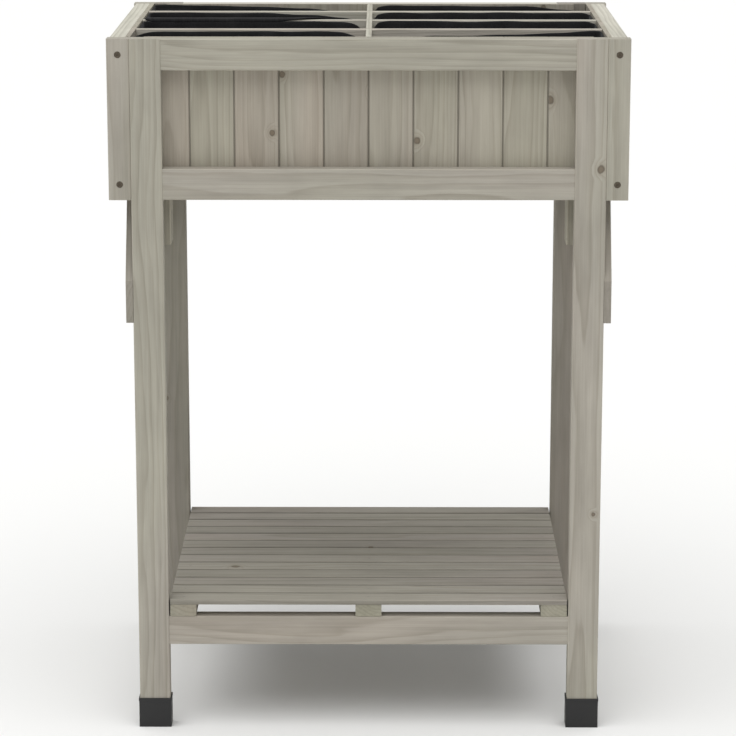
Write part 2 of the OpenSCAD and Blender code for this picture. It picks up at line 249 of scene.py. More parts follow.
def wood_group():
    """Grain in board coordinates: X across the face, Y through the board, Z along it, in metres."""
    tree = bpy.data.node_groups.new("grey_washed_wood", "ShaderNodeTree")
    for name, kind in (("Vector", "Vector"), ("Seed", "Float"), ("Knots", "Float"), ("Groove", "Float"),
                       ("Colour", "Color")):
        tree.interface.new_socket(name, in_out="INPUT", socket_type="NodeSocket" + kind)
    for name, kind in (("Colour", "Color"), ("Roughness", "Float"), ("Height", "Float")):
        tree.interface.new_socket(name, in_out="OUTPUT", socket_type="NodeSocket" + kind)
    given = tree.nodes.new("NodeGroupInput").outputs
    out = tree.nodes.new("NodeGroupOutput").inputs

    dice = add(tree, "ShaderNodeTexWhiteNoise", {"W": given["Seed"]}, noise_dimensions="1D")
    dice_xyz = add(tree, "ShaderNodeSeparateXYZ", {0: dice.outputs["Color"]}).outputs
    far = vector_calc(tree, "SCALE", dice.outputs["Color"])
    far.node.inputs["Scale"].default_value = SEED_SPREAD
    place = vector_calc(tree, "ADD", given["Vector"], far)
    local = add(tree, "ShaderNodeSeparateXYZ", {0: given["Vector"]}).outputs

    # the pith wanders beside the board as it runs along it
    drift = grain_noise(tree, place, 0.5, 2.3, 1.0)
    pith_x = calc(tree, "MULTIPLY_ADD", dice_xyz[0], 0.05, -0.025)
    pith_x = calc(tree, "MULTIPLY_ADD", drift, 0.035, calc(tree, "SUBTRACT", pith_x, 0.0175))
    pith_y = calc(tree, "MULTIPLY_ADD", dice_xyz[1], 0.035, 0.010)
    pith_y = calc(tree, "MULTIPLY_ADD", drift, 0.020, pith_y)
    beside = calc(tree, "SUBTRACT", local[0], pith_x)
    behind = calc(tree, "SUBTRACT", local[1], pith_y)
    squares = calc(tree, "ADD", calc(tree, "POWER", beside, 2.0), calc(tree, "POWER", behind, 2.0))
    reach = calc(tree, "SQRT", squares)
    warp = calc(tree, "MULTIPLY_ADD", grain_noise(tree, place, 24.0, 2.6, 2.0), 0.012, -0.006)
    wobble = calc(tree, "MULTIPLY_ADD", grain_noise(tree, place, 110.0, 9.0, 2.0), 0.003, -0.0015)
    reach = calc(tree, "ADD", reach, calc(tree, "ADD", warp, wobble))

    # knots: one in some cells of a loose grid over the board's face
    flat = add(tree, "ShaderNodeSeparateXYZ", {0: place}).outputs
    cell = add(tree, "ShaderNodeCombineXYZ", {
        0: calc(tree, "DIVIDE", flat[0], KNOT_CELL[0]), 1: calc(tree, "DIVIDE", flat[2], KNOT_CELL[1])})
    spots = add(tree, "ShaderNodeTexVoronoi", {"Vector": cell.outputs[0], "Scale": 1.0, "Randomness": 0.75},
                voronoi_dimensions="2D")
    spot_dice = add(tree, "ShaderNodeSeparateColor", {0: spots.outputs["Color"]}).outputs
    away = vector_calc(tree, "SUBTRACT", cell.outputs[0], spots.outputs["Position"])
    away = vector_calc(tree, "MULTIPLY", away, (KNOT_CELL[0], KNOT_CELL[1] * 0.8, 0))
    bend = calc(tree, "MULTIPLY_ADD", grain_noise(tree, place, 160.0, 120.0, 1.0), 0.003, -0.0015)
    knot_far = calc(tree, "ADD", vector_calc(tree, "LENGTH", away), bend)
    knot_size = calc(tree, "MULTIPLY_ADD", spot_dice[1], 0.0026, 0.0017)
    present = remap(tree, calc(tree, "SUBTRACT", given["Knots"], spot_dice[0]), 0.0, 0.02)
    ratio = calc(tree, "DIVIDE", knot_far, knot_size)
    core = calc(tree, "MULTIPLY", remap(tree, ratio, 1.45, 0.55), present)
    swirl = calc(tree, "MULTIPLY", remap(tree, ratio, 4.0, 0.5, 0.0, 0.007), present)
    reach = calc(tree, "ADD", reach, swirl)

    # rings: pale early wood that darkens slowly, then ends sharply
    count = calc(tree, "DIVIDE", reach, calc(tree, "MULTIPLY_ADD", dice_xyz[2], 0.0022, RING_WIDTH))
    part = calc(tree, "FRACT", count)
    ring = calc(tree, "MULTIPLY", calc(tree, "POWER", part, 2.4), remap(tree, part, 1.0, 0.86))
    each = add(tree, "ShaderNodeTexWhiteNoise", {"W": calc(tree, "FLOOR", count)}, noise_dimensions="1D")
    ring = calc(tree, "MULTIPLY", ring, calc(tree, "MULTIPLY_ADD", each.outputs["Value"], 0.7, 0.5))

    # fibres and blotches
    fibre = grain_noise(tree, place, 900.0, 14.0, 3.0)
    streak = grain_noise(tree, place, 260.0, 5.0, 3.0)
    mottle = grain_noise(tree, place, 75.0, 22.0, 4.0)
    blotch = grain_noise(tree, place, 16.0, 5.0, 4.0)
    tint = grain_noise(tree, place, 7.0, 1.6, 2.0)

    green = blend_colour(tree, remap(tree, tint, 0.56, 0.36), given["Colour"], GREENISH, "MULTIPLY")
    base = blend_colour(tree, remap(tree, tint, 0.5, 0.68), green, REDDISH, "MULTIPLY")
    ringed = blend_colour(tree, calc(tree, "MULTIPLY", ring, 0.42), base, RING_COLOUR)
    light = 1.0
    for spread, share in ((streak, 0.26), (mottle, 0.22), (fibre, 0.26), (blotch, 0.34)):
        light = calc(tree, "MULTIPLY_ADD", calc(tree, "SUBTRACT", spread, 0.5), share, light)
    shaded = blend_colour(tree, 1.0, ringed, light, "MULTIPLY")
    rim = remap(tree, calc(tree, "ABSOLUTE", calc(tree, "SUBTRACT", ratio, 0.95)), 0.42, 0.0)
    rim = calc(tree, "MULTIPLY", calc(tree, "MULTIPLY", rim, present), 0.5)
    halo = calc(tree, "MULTIPLY", remap(tree, ratio, 3.2, 1.0), present)
    knotty = blend_colour(tree, calc(tree, "MULTIPLY", halo, 0.22), shaded, HALO_COLOUR)
    knotty = blend_colour(tree, calc(tree, "MULTIPLY", core, 0.8), knotty, KNOT_COLOUR)
    knotty = blend_colour(tree, rim, knotty, KNOT_RIM)

    # rubbed edges, partly wear and partly a painted highlight:
    # the eased corners of a board face neither along nor across it
    facing = add(tree, "ShaderNodeNewGeometry").outputs["Normal"]
    sides = vector_calc(tree, "ABSOLUTE", facing)
    side = add(tree, "ShaderNodeSeparateXYZ", {0: sides}).outputs
    widest = calc(tree, "MAXIMUM", calc(tree, "MAXIMUM", side[0], side[1]), side[2])
    edge = calc(tree, "MULTIPLY", remap(tree, widest, 0.97, 0.80), remap(tree, blotch, 0.3, 0.6))
    worn_highlit_and_shaded = blend_colour(tree, calc(tree, "MULTIPLY", edge, 0.5), knotty, RUBBED_AND_PAINTED_HIGHLIGHT)
    # painted shade darkens the faces between boards, in the grooves
    worn_highlit_and_shaded = blend_colour(tree, given["Groove"], worn_highlit_and_shaded, GROOVE_PAINTED_SHADE)

    rough = calc(tree, "MULTIPLY_ADD", blotch, -0.22, 0.92)
    height = calc(tree, "MULTIPLY_ADD", ring, 0.5, calc(tree, "MULTIPLY", fibre, 0.55))
    height = calc(tree, "ADD", height, calc(tree, "MULTIPLY", streak, 0.5))
    height = calc(tree, "SUBTRACT", height, calc(tree, "MULTIPLY", rim, 0.8))
    tree.links.new(worn_highlit_and_shaded, out["Colour"])
    tree.links.new(rough, out["Roughness"])
    tree.links.new(height, out["Height"])
    return tree


WOOD = wood_group()
print("wood group:", len(WOOD.nodes), "nodes")

# %% [markdown]
# ## One finish for each board
# The same recipe serves a leg, a rail and a slat, once the point is turned so that Z runs along the board.
# Where one node holds a row of boards, the place in the row picks the seed, so neighbours differ.


# %% A wood material for a piece, or for a row of boards
NEXT_BOARD = 7.31
TONE_FROM = 0.93
TONE_RANGE = 0.14


def wood(name, along, face, colour, seed, centre, knots=0.14, row=None, turn=None, groove=0.0):
    """A wood finish. along and face are axes: the grain runs along one and the show face along the other.
    row is (axis, start, pitch) where one node holds a row of boards, and groove is how much painted shade
    darkens the faces between its boards. turn is (axis, angle) for a slanted board."""
    material, tree, shader = new_material(name)
    here = add(tree, "ShaderNodeTexCoord").outputs["Object"]
    here = vector_calc(tree, "SUBTRACT", here, tuple(centre))
    if turn:
        turned = add(tree, "ShaderNodeVectorRotate", {"Vector": here, "Angle": turn[1]})
        turned.rotation_type = turn[0] + "_AXIS"
        here = turned.outputs[0]
    part = dict(zip("XYZ", add(tree, "ShaderNodeSeparateXYZ", {0: here}).outputs))
    if row:
        axis, start, pitch = row
        offset = start - centre["XYZ".index(axis)]
        place = calc(tree, "DIVIDE", calc(tree, "SUBTRACT", part[axis], offset), pitch)
        number = calc(tree, "MULTIPLY_ADD", calc(tree, "FLOOR", place), NEXT_BOARD, seed)
        inside = calc(tree, "SUBTRACT", calc(tree, "FRACT", place), 0.5)
        part[axis] = calc(tree, "MULTIPLY", inside, pitch)
    across = ({"X", "Y", "Z"} - {along, face}).pop()
    board = add(tree, "ShaderNodeCombineXYZ", {0: part[across], 1: part[face], 2: part[along]})
    grain = add(tree, "ShaderNodeGroup", node_tree=WOOD)
    tree.links.new(board.outputs[0], grain.inputs["Vector"])
    if row:
        tree.links.new(number, grain.inputs["Seed"])
        dice = add(tree, "ShaderNodeTexWhiteNoise", {"W": number}, noise_dimensions="1D")
        shade = calc(tree, "MULTIPLY_ADD", dice.outputs["Value"], TONE_RANGE, TONE_FROM)
        tree.links.new(blend_colour(tree, 1.0, colour, shade, "MULTIPLY"), grain.inputs["Colour"])
        # painted shade: faces that look along the row, between its boards, are darkened as if in the grooves'
        # shade
        normal = add(tree, "ShaderNodeNewGeometry").outputs["Normal"]
        facing = add(tree, "ShaderNodeSeparateXYZ", {0: normal}).outputs["XYZ".index(axis)]
        lean = calc(tree, "ABSOLUTE", facing)
        tree.links.new(remap(tree, lean, 0.35, 0.7, 0.0, groove), grain.inputs["Groove"])
    else:
        grain.inputs["Seed"].default_value = seed
        grain.inputs["Colour"].default_value = colour
    grain.inputs["Knots"].default_value = knots
    tree.links.new(grain.outputs["Colour"], shader.inputs["Base Color"])
    tree.links.new(grain.outputs["Roughness"], shader.inputs["Roughness"])
    bumpy(tree, shader, grain.outputs["Height"], 0.55, 0.0005)
    shader.inputs["Specular IOR Level"].default_value = 0.22
    return material


def dress(node, material):
    """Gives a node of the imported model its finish."""
    piece = nodes[node]
    piece.data.materials.clear()
    piece.data.materials.append(material)


def centre_of(node):
    """The middle of a node's box."""
    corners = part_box(node)
    return (Vector(corners[0]) + Vector(corners[1])) / 2


GREY = paint(162, 157, 147)
# painted highlight: the top rails, whose tops form the rim, are paler as if lit from above
RIM_PAINTED_HIGHLIGHT = paint(192, 188, 178)
DIVIDER = paint(178, 174, 164)
BOARD = paint(163, 157, 145)
SLAT = paint(150, 145, 137)
HIDDEN = paint(150, 146, 132)
# painted shade: the back legs and the braces are darker, as if in the shade under the box
PAINTED_SHADE_TONE = paint(143, 138, 129)
SINGLE_SEED = 3.7

# the start of a node's name: which way its grain runs, which way it shows, and its tone; the top rails
# get a painted highlight and the back legs painted shade
single_boards = {
    "leg_front": ("Z", "Y", GREY),
    "leg_back": ("Z", "Y", PAINTED_SHADE_TONE),
    "stile_front": ("Z", "Y", GREY),
    "stile_back": ("Z", "Y", GREY),
    "corner_post": ("Z", "Y", HIDDEN),
    "front_top_rail": ("X", "Y", GREY),
    "front_bottom_rail": ("X", "Y", GREY),
    "back_top_rail": ("X", "Y", RIM_PAINTED_HIGHLIGHT),
    "back_bottom_rail": ("X", "Y", GREY),
    "front_stretcher": ("X", "Y", GREY),
    "back_stretcher": ("X", "Y", GREY),
    "left_top_rail": ("Y", "X", RIM_PAINTED_HIGHLIGHT),
    "left_bottom_rail": ("Y", "X", GREY),
    "right_top_rail": ("Y", "X", RIM_PAINTED_HIGHLIGHT),
    "right_bottom_rail": ("Y", "X", GREY),
    "cross_divider": ("X", "Y", DIVIDER),
    "centre_divider": ("Y", "X", DIVIDER),
    "floor_bearer_front": ("X", "Y", HIDDEN),
    "floor_bearer_back": ("X", "Y", HIDDEN),
    "floor_bearer_left": ("Y", "X", HIDDEN),
    "floor_bearer_right": ("Y", "X", HIDDEN),
    "shelf_batten": ("Y", "Z", HIDDEN),
}
singles = sorted(name for name in nodes if name.startswith(tuple(single_boards)))
for count, name in enumerate(singles):
    along, face, colour = next(data for start, data in single_boards.items() if name.startswith(start))
    dress(name, wood(name + "_wood", along, face, colour, count * SINGLE_SEED, centre_of(name)))
print("single boards dressed:", len(singles))

# %% [markdown]
# Rows of boards share a node, so the finish finds out which board a point is on. The front and back hold
# ten boards, each side seven, the shelf thirteen slats and the floor eight boards. The braces lean back from
# the legs, so their grain is turned to run along them.


# %% Finish the rows of boards and the braces
def row_of(node, axis, count, gap):
    """Where a row of equal boards starts, and its pitch, from the node's own box."""
    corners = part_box(node)
    step = "XYZ".index(axis)
    start = corners[0][step] - gap / 2
    return axis, start, (corners[1][step] + gap / 2 - start) / count


BOARD_GAP = 0.0003
SLAT_GAP = 0.0040
FLOOR_GAP = 0.0048
BRACE_LEAN = math.radians(23)
ROW_SEEDS = (200, 11.3)
BRACE_SEEDS = (320, 5.1)
rows = {
    # each row: grain, show face, tone, the row, its knots and how much painted shade darkens its grooves
    "front_boards": ("Z", "Y", BOARD, row_of("front_boards", "X", 10, BOARD_GAP), 0.48, 0.40),
    "back_boards": ("Z", "Y", BOARD, row_of("back_boards", "X", 10, BOARD_GAP), 0.40, 0.40),
    "left_boards": ("Z", "X", BOARD, row_of("left_boards", "Y", 7, BOARD_GAP), 0.36, 0.40),
    "right_boards": ("Z", "X", BOARD, row_of("right_boards", "Y", 7, BOARD_GAP), 0.36, 0.40),
    "shelf_slats": ("X", "Z", SLAT, row_of("shelf_slats", "Y", 13, SLAT_GAP), 0.16, 0.26),
    "floor_boards": ("Y", "Z", HIDDEN, row_of("floor_boards", "X", 8, FLOOR_GAP), 0.2, 0.2),
}
for count, (name, (along, face, colour, row, knots, groove)) in enumerate(rows.items()):
    seed = ROW_SEEDS[0] + count * ROW_SEEDS[1]
    dress(name, wood(name + "_wood", along, face, colour, seed, centre_of(name), knots, row, groove=groove))
for count, name in enumerate(sorted(n for n in nodes if n.startswith(("brace_front", "brace_back")))):
    seed = BRACE_SEEDS[0] + count * BRACE_SEEDS[1]
    lean = BRACE_LEAN if "front" in name else -BRACE_LEAN
    # the braces take the painted shade tone too
    dress(name, wood(name + "_wood", "Z", "X", PAINTED_SHADE_TONE, seed, centre_of(name), turn=("X", lean)))
print("rows of boards:", {name: round(data[3][2] * 1000, 1) for name, data in rows.items()})

# %% [markdown]
# ## Beech and steel
# The dowels are plain beech and the nails small galvanised heads. Steel is never one tone: the coating wears
# to bare metal on rims, so a fine noise moves both its colour and its roughness.


# %% Dowel, nail and screw finishes
def speckled(name, first, second, scale, rough, metallic=0.0):
    """A fine, uneven finish: two colours and two roughnesses under one noise."""
    material, tree, shader = new_material(name)
    here = add(tree, "ShaderNodeTexCoord").outputs["Object"]
    grain = add(tree, "ShaderNodeTexNoise", {"Vector": here, "Scale": scale, "Detail": 4.0}).outputs["Fac"]
    amount = remap(tree, grain, 0.35, 0.65)
    tree.links.new(blend_colour(tree, amount, first, second), shader.inputs["Base Color"])
    tree.links.new(remap(tree, grain, 0.3, 0.7, *rough), shader.inputs["Roughness"])
    bumpy(tree, shader, grain, 0.6, 0.00005)
    shader.inputs["Metallic"].default_value = metallic
    return material


BEECH = speckled("beech", paint(196, 168, 128), paint(178, 148, 108), 900, (0.55, 0.7))
NAIL_STEEL = speckled("nail_steel", paint(142, 138, 129), paint(124, 120, 111), 2500, (0.5, 0.65), 0.2)
SCREW_STEEL = speckled("screw_steel", paint(110, 101, 88), paint(78, 70, 60), 1800, (0.38, 0.55), 0.7)
dress("dowels", BEECH)
dress("shelf_nails", NAIL_STEEL)
print("finishes:", BEECH.name, NAIL_STEEL.name, SCREW_STEEL.name)

# %% [markdown]
# ## Modelling helpers
# New pieces are modelled as by hand: a primitive goes in at its size and place, and edit mode shapes it.
# Operators act on what is selected, so each step picks its faces and edges by where they lie.


# %% Helpers for edit mode
def alone(piece=None):
    """Deselects everything, and makes one piece active if it is given."""
    bpy.ops.object.select_all(action="DESELECT")
    if piece:
        piece.select_set(True)
        bpy.context.view_layer.objects.active = piece


def pick(piece, kind, wanted):
    """In edit mode, selects the faces, edges or vertices for which wanted is true."""
    bpy.ops.mesh.select_mode(type={"faces": "FACE", "edges": "EDGE", "verts": "VERT"}[kind])
    mesh = bmesh.from_edit_mesh(piece.data)
    for item in [*mesh.verts, *mesh.edges, *mesh.faces]:
        item.select = False
    for item in [item for item in getattr(mesh, kind) if wanted(item)]:
        item.select_set(True)
    mesh.select_flush_mode()
    bmesh.update_edit_mesh(piece.data)


def middle_of(item):
    """The middle of an edge."""
    return (item.verts[0].co + item.verts[1].co) / 2


def upright(edge, lean=0.3):
    """True for an edge that runs up and down."""
    run = edge.verts[1].co - edge.verts[0].co
    return math.hypot(run.x, run.y) <= lean * abs(run.z)


def box_piece(name, lowest, highest):
    """A cube primitive that fills a box, left in edit mode."""
    alone()
    size = Vector(highest) - Vector(lowest)
    bpy.ops.mesh.primitive_cube_add(size=1, location=(Vector(lowest) + Vector(highest)) / 2, scale=size)
    piece = bpy.context.object
    piece.name = name
    bpy.ops.object.transform_apply(location=True, rotation=True, scale=True)
    bpy.ops.object.mode_set(mode="EDIT")
    return piece


def apply_all(piece):
    """Applies a piece's modifiers in order."""
    alone(piece)
    for modifier in list(piece.modifiers):
        bpy.ops.object.modifier_apply(modifier=modifier.name)


def settle(piece, material, node):
    """Gives a finished piece its finish and its body, and hides the node that it stands for."""
    piece.data.materials.clear()
    piece.data.materials.append(material)
    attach(piece, "root")
    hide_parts(node)


print("helpers ready")

# %% [markdown]
# ## Foot caps
# Each leg stands in a moulded black cap that keeps it out of the wet. A real one has a drafted wall, a small
# bead round its mouth, softened corners and a tread of ribs below. One is modelled at the front left foot,
# and the other three are copies.

# %% The foot cap
CAP_WALL = 0.0015
CAP_FLOOR = 0.003
BEAD_HEIGHT = 0.0035
BEAD_PROUD = 0.0005
CAP_EDGE = 0.0012
SOLE = 0.0005
TREAD_DEPTH = 0.0009
TREAD_MARGIN = 0.0008
TREAD_RIBS = 7

CAP_NODE = "foot_cap_front_left"
cap_low, cap_high = (Vector(c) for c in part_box(CAP_NODE))
inset = Vector((BEAD_PROUD, BEAD_PROUD, 0))
cap = box_piece("foot_cap_moulded", cap_low + inset, cap_high - inset)

# the mouth: a rim as wide as the wall, then the pocket that the leg stands in
pick(cap, "faces", lambda f: f.normal.z > 0.9)
bpy.ops.mesh.inset(thickness=CAP_WALL - BEAD_PROUD)
bpy.ops.mesh.extrude_region_move(TRANSFORM_OT_translate={"value": (0, 0, CAP_FLOOR - cap_high.z)})

# the bead: two cuts round the wall, and the band above them stands out
cap_middle = (cap_low + cap_high) / 2
for height in (cap_high.z - BEAD_HEIGHT, cap_high.z - BEAD_HEIGHT * 1.3):
    bpy.ops.mesh.select_all(action="SELECT")
    bpy.ops.mesh.bisect(plane_co=(0, 0, height), plane_no=(0, 0, 1))


def on_wall(face):
    """True for a face on the cap's outer wall."""
    place = face.calc_center_median() - cap_middle
    return abs(face.normal.z) < 0.1 and place.dot(face.normal) > 0


def on_sole(face):
    """True for a face on the cap's underside."""
    return face.normal.z < -0.9 and face.calc_center_median().z < SOLE


pick(cap, "faces", lambda f: on_wall(f) and f.calc_center_median().z > cap_high.z - BEAD_HEIGHT)
bpy.ops.mesh.extrude_region_shrink_fatten(TRANSFORM_OT_shrink_fatten={"value": BEAD_PROUD})

# the tread: ribs across the sole
step = (cap_high.x - cap_low.x) / (2 * TREAD_RIBS)
for rib in range(1, 2 * TREAD_RIBS):
    pick(cap, "faces", on_sole)
    bpy.ops.mesh.bisect(plane_co=(cap_low.x + step * rib, 0, 0), plane_no=(1, 0, 0))
pick(cap, "faces", lambda f: on_sole(f) and int((f.calc_center_median().x - cap_low.x) / step) % 2 == 1)
bpy.ops.mesh.inset(thickness=TREAD_MARGIN)
bpy.ops.mesh.extrude_region_move(TRANSFORM_OT_translate={"value": (0, 0, TREAD_DEPTH)})

bpy.ops.mesh.select_all(action="SELECT")
bpy.ops.mesh.normals_make_consistent(inside=False)
bpy.ops.object.mode_set(mode="OBJECT")
edges = cap.modifiers.new("soft_edges", "BEVEL")
edges.width = CAP_EDGE / 2
edges.segments = 3
edges.limit_method = "ANGLE"
edges.angle_limit = math.radians(40)
apply_all(cap)
bpy.ops.object.shade_smooth_by_angle(angle=math.radians(35))
print("cap faces:", len(cap.data.polygons))

# %% [markdown]
# The caps are moulded in black polypropylene from a spark-eroded tool, which leaves a fine even grain and a
# dull sheen. A noise far finer than the piece gives the grain, and a slow one the scuffs.


# %% The cap's plastic, and a cap on each foot
def moulded_plastic():
    """Black plastic with a spark-eroded grain."""
    material, tree, shader = new_material("moulded_black")
    here = add(tree, "ShaderNodeTexCoord").outputs["Object"]
    grain = add(tree, "ShaderNodeTexNoise", {"Vector": here, "Scale": 1600, "Detail": 2.0}).outputs["Fac"]
    scuff = add(tree, "ShaderNodeTexNoise", {"Vector": here, "Scale": 60, "Detail": 4.0}).outputs["Fac"]
    colour = blend_colour(tree, remap(tree, scuff, 0.42, 0.7), paint(21, 21, 22), paint(30, 30, 30))
    tree.links.new(colour, shader.inputs["Base Color"])
    tree.links.new(remap(tree, scuff, 0.35, 0.7, 0.44, 0.62), shader.inputs["Roughness"])
    bumpy(tree, shader, grain, 0.5, 0.0001)
    return material


def cap_at(name):
    """A copy of the cap at another foot."""
    alone(cap)
    bpy.ops.object.duplicate()
    copy = bpy.context.object
    copy.location = Vector(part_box(name)[0]) - cap_low
    bpy.ops.object.transform_apply(location=True, rotation=True, scale=True)
    return copy


MOULDED = moulded_plastic()
cap_nodes = sorted(name for name in nodes if name.startswith("foot_cap_"))
caps = {name: cap if name == CAP_NODE else cap_at(name) for name in cap_nodes}
for name, piece in caps.items():
    piece.name = name + "_moulded"
    settle(piece, MOULDED, name)
print("caps:", [piece.name for piece in caps.values()])

# %% [markdown]
# ## Fabric pockets
# Each of the eight cells is lined with a pocket of black felt, cut as a cross and folded up into an open box.
# It is tacked near the top of the dividers and hangs loose below, so it sags, bulges and creases. The pocket
# is modelled flat-walled from the cell's box: a sheet for the floor, its edge pulled up into walls, the
# corners rounded and the whole cut into a fine net. Then its top line is drawn down where it droops.

# %% The felt pocket's net
CLOTH_NET = 0.008
POCKET_CORNER = 0.009
POCKET_GAP = 0.0004
POST_GAP = 0.0020
COUNT_ALONG = Vector((1.0, 0.618, 0.414))


def over_post(spot, post, margin=0.0):
    """True for a spot on the post's side of its inner corner, in plan."""
    corner, outward = post
    return (spot - corner).x * outward.x > margin and (spot - corner).y * outward.y > margin


def near_post(spot, post):
    """True for a spot on the post's inner corner or past it, in plan."""
    return over_post(spot, post, -0.001)


def level(edge):
    """True for an edge that runs level."""
    return abs(edge.verts[0].co.z - edge.verts[1].co.z) < 0.0001


def renumber(piece):
    """Counts the net's points and faces by their place, so that every run merges them and sags them alike."""
    points = sorted(piece.data.vertices, key=lambda v: v.co.dot(COUNT_ALONG))
    number = {point.index: count for count, point in enumerate(points)}
    faces = []
    for polygon in piece.data.polygons:
        ring = [number[index] for index in polygon.vertices]
        first = ring.index(min(ring))
        faces.append(ring[first:] + ring[:first])
    places = [point.co.copy() for point in points]
    piece.data.clear_geometry()
    piece.data.from_pydata(places, [], sorted(faces))
    piece.data.update()


def pocket_net(name, lowest, highest, post=None):
    """An open fabric box that fills a cell. At a corner post it steps up and over the post's top."""
    alone()
    size = highest - lowest
    place = (lowest + highest) / 2
    bpy.ops.mesh.primitive_plane_add(size=1, location=(place.x, place.y, lowest.z))
    piece = bpy.context.object
    piece.name = name
    bpy.ops.transform.resize(value=(size.x, size.y, 1))
    bpy.ops.object.transform_apply(location=True, rotation=True, scale=True)
    bpy.ops.object.mode_set(mode="EDIT")
    bpy.ops.mesh.select_mode(type="EDGE")
    if post:
        corner, outward = post
        for plane in ((1, 0, 0), (0, 1, 0)):
            bpy.ops.mesh.select_all(action="SELECT")
            bpy.ops.mesh.bisect(plane_co=corner, plane_no=plane)
        pick(piece, "faces", lambda f: over_post(f.calc_center_median(), post))
        bpy.ops.mesh.extrude_region_move(TRANSFORM_OT_translate={"value": (0, 0, corner.z - lowest.z)})
        pick(piece, "faces", lambda f: abs(f.normal.z) < 0.5
             and over_post(f.calc_center_median(), post, 0.001))
        bpy.ops.mesh.delete(type="FACE")
        pick(piece, "edges", lambda e: e.is_boundary and level(e) and middle_of(e).z > lowest.z + 0.01)
        bpy.ops.mesh.extrude_edges_move(TRANSFORM_OT_translate={"value": (0, 0, highest.z - corner.z)})
    pick(piece, "edges", lambda e: e.is_boundary and level(e) and middle_of(e).z < lowest.z + 0.01)
    bpy.ops.mesh.extrude_edges_move(TRANSFORM_OT_translate={"value": (0, 0, size.z)})
    pick(piece, "edges", lambda e: upright(e) and len(e.link_faces) == 2
         and abs(e.link_faces[0].normal.dot(e.link_faces[1].normal)) < 0.5
         and not (post and near_post(middle_of(e), post)))
    bpy.ops.mesh.bevel(offset=POCKET_CORNER, segments=3, affect="EDGES")
    if post:
        bpy.ops.mesh.select_all(action="SELECT")
        bpy.ops.mesh.bisect(plane_co=corner, plane_no=(0, 0, 1))
    for axis in range(3):
        cuts = round(size[axis] / CLOTH_NET)
        plane = [float(axis == other) for other in range(3)]
        for cut in range(1, cuts):
            point = lowest.copy()
            point[axis] += size[axis] * cut / cuts
            bpy.ops.mesh.select_all(action="SELECT")
            bpy.ops.mesh.bisect(plane_co=point, plane_no=plane)
    bpy.ops.object.mode_set(mode="OBJECT")
    renumber(piece)
    bpy.ops.object.mode_set(mode="EDIT")
    bpy.ops.mesh.select_all(action="SELECT")
    bpy.ops.mesh.remove_doubles(threshold=0.0012)
    bpy.ops.mesh.normals_make_consistent(inside=False)
    bpy.ops.object.mode_set(mode="OBJECT")
    renumber(piece)
    bpy.ops.object.mode_set(mode="EDIT")
    bpy.ops.mesh.select_all(action="SELECT")
    bpy.ops.uv.cube_project(cube_size=1.0)
    bpy.ops.object.mode_set(mode="OBJECT")
    return piece


print("net size:", CLOTH_NET)

# %% [markdown]
# The top line is the part that shows. On most cells the felt stops short of the centre divider with a round
# corner, and each wall droops by its own few millimetres. A line is given by a few points along the cell,
# from its outer wall to the centre divider: how far along, and how far below the rim.

# %% Where each pocket's top line droops
RIM = high.z
WAVE = 0.0012
WAVE_LUMPS = 22
CREASE = 0.004
CREASE_LUMPS = 30
BACK_LINES = {
    "row1_left": [(0.0, 0.006), (0.06, 0.0025), (0.5, 0.0022), (0.9, 0.0025), (0.95, 0.006), (1.0, 0.014)],
    "row2_left": [(0.0, 0.001), (0.5, 0.001), (0.92, 0.0014), (0.96, 0.005), (1.0, 0.015)],
    "row3_left": [(0.0, 0.001), (0.5, 0.0012), (0.75, 0.004), (0.9, 0.007), (1.0, 0.012)],
    "row4_left": [(0.0, 0.0008), (0.35, 0.0012), (0.7, 0.005), (0.92, 0.010), (1.0, 0.014)],
    "row1_right": [(0.0, 0.0016), (0.2, 0.0042), (0.4, 0.0062), (0.75, 0.0074), (0.85, 0.011), (1.0, 0.014)],
    "row2_right": [(0.0, 0.004), (0.04, 0.001), (0.5, 0.0012), (0.95, 0.001), (0.98, 0.003), (1.0, 0.009)],
    "row3_right": [(0.0, 0.003), (0.04, 0.001), (0.5, 0.001), (0.95, 0.001), (0.98, 0.003), (1.0, 0.008)],
    "row4_right": [(0.0, 0.009), (0.1, 0.006), (0.3, 0.002), (0.95, 0.001), (0.98, 0.003), (1.0, 0.008)],
}
FRONT_DROP = 0.006
NOISE_SEED = 7
noise.seed_set(NOISE_SEED)


def drop_along(line, part):
    """How far below the rim a line of (part, drop) points is, eased between its points."""
    for (start, first), (end, last) in zip(line, line[1:]):
        if part <= end:
            ease = (part - start) / (end - start)
            ease = ease * ease * (3 - 2 * ease)
            return first + (last - first) * ease
    return line[-1][1]


def droop(piece, lowest, highest, line, seed, post=None):
    """Draws the pocket's top line down, and roughens its walls a little so that they crease when they sag."""
    size = highest - lowest
    for vertex in piece.data.vertices:
        part = (vertex.co.x - lowest.x) / size.x
        if lowest.x > 0:
            part = 1 - part
        depth = (vertex.co.y - lowest.y) / size.y
        wave = noise.noise(Vector((vertex.co.x * WAVE_LUMPS, vertex.co.y * WAVE_LUMPS, seed))) * WAVE
        back = drop_along(line, part)
        drop = back + (FRONT_DROP - back) * (1 - depth) ** 3 + wave
        base = post[0].z if post and near_post(vertex.co, post) else lowest.z
        if vertex.co.z > base:
            vertex.co.z = base + (vertex.co.z - base) * (RIM - drop - base) / (highest.z - base)
        up = (vertex.co.z - lowest.z) / size.z
        shake = noise.noise_vector(vertex.co * CREASE_LUMPS + Vector((seed, 0, 0)))
        if base == lowest.z:
            vertex.co += Vector((shake.x, shake.y, 0)) * CREASE * min(1, (1 - up) * 4)


print("top lines:", len(BACK_LINES))

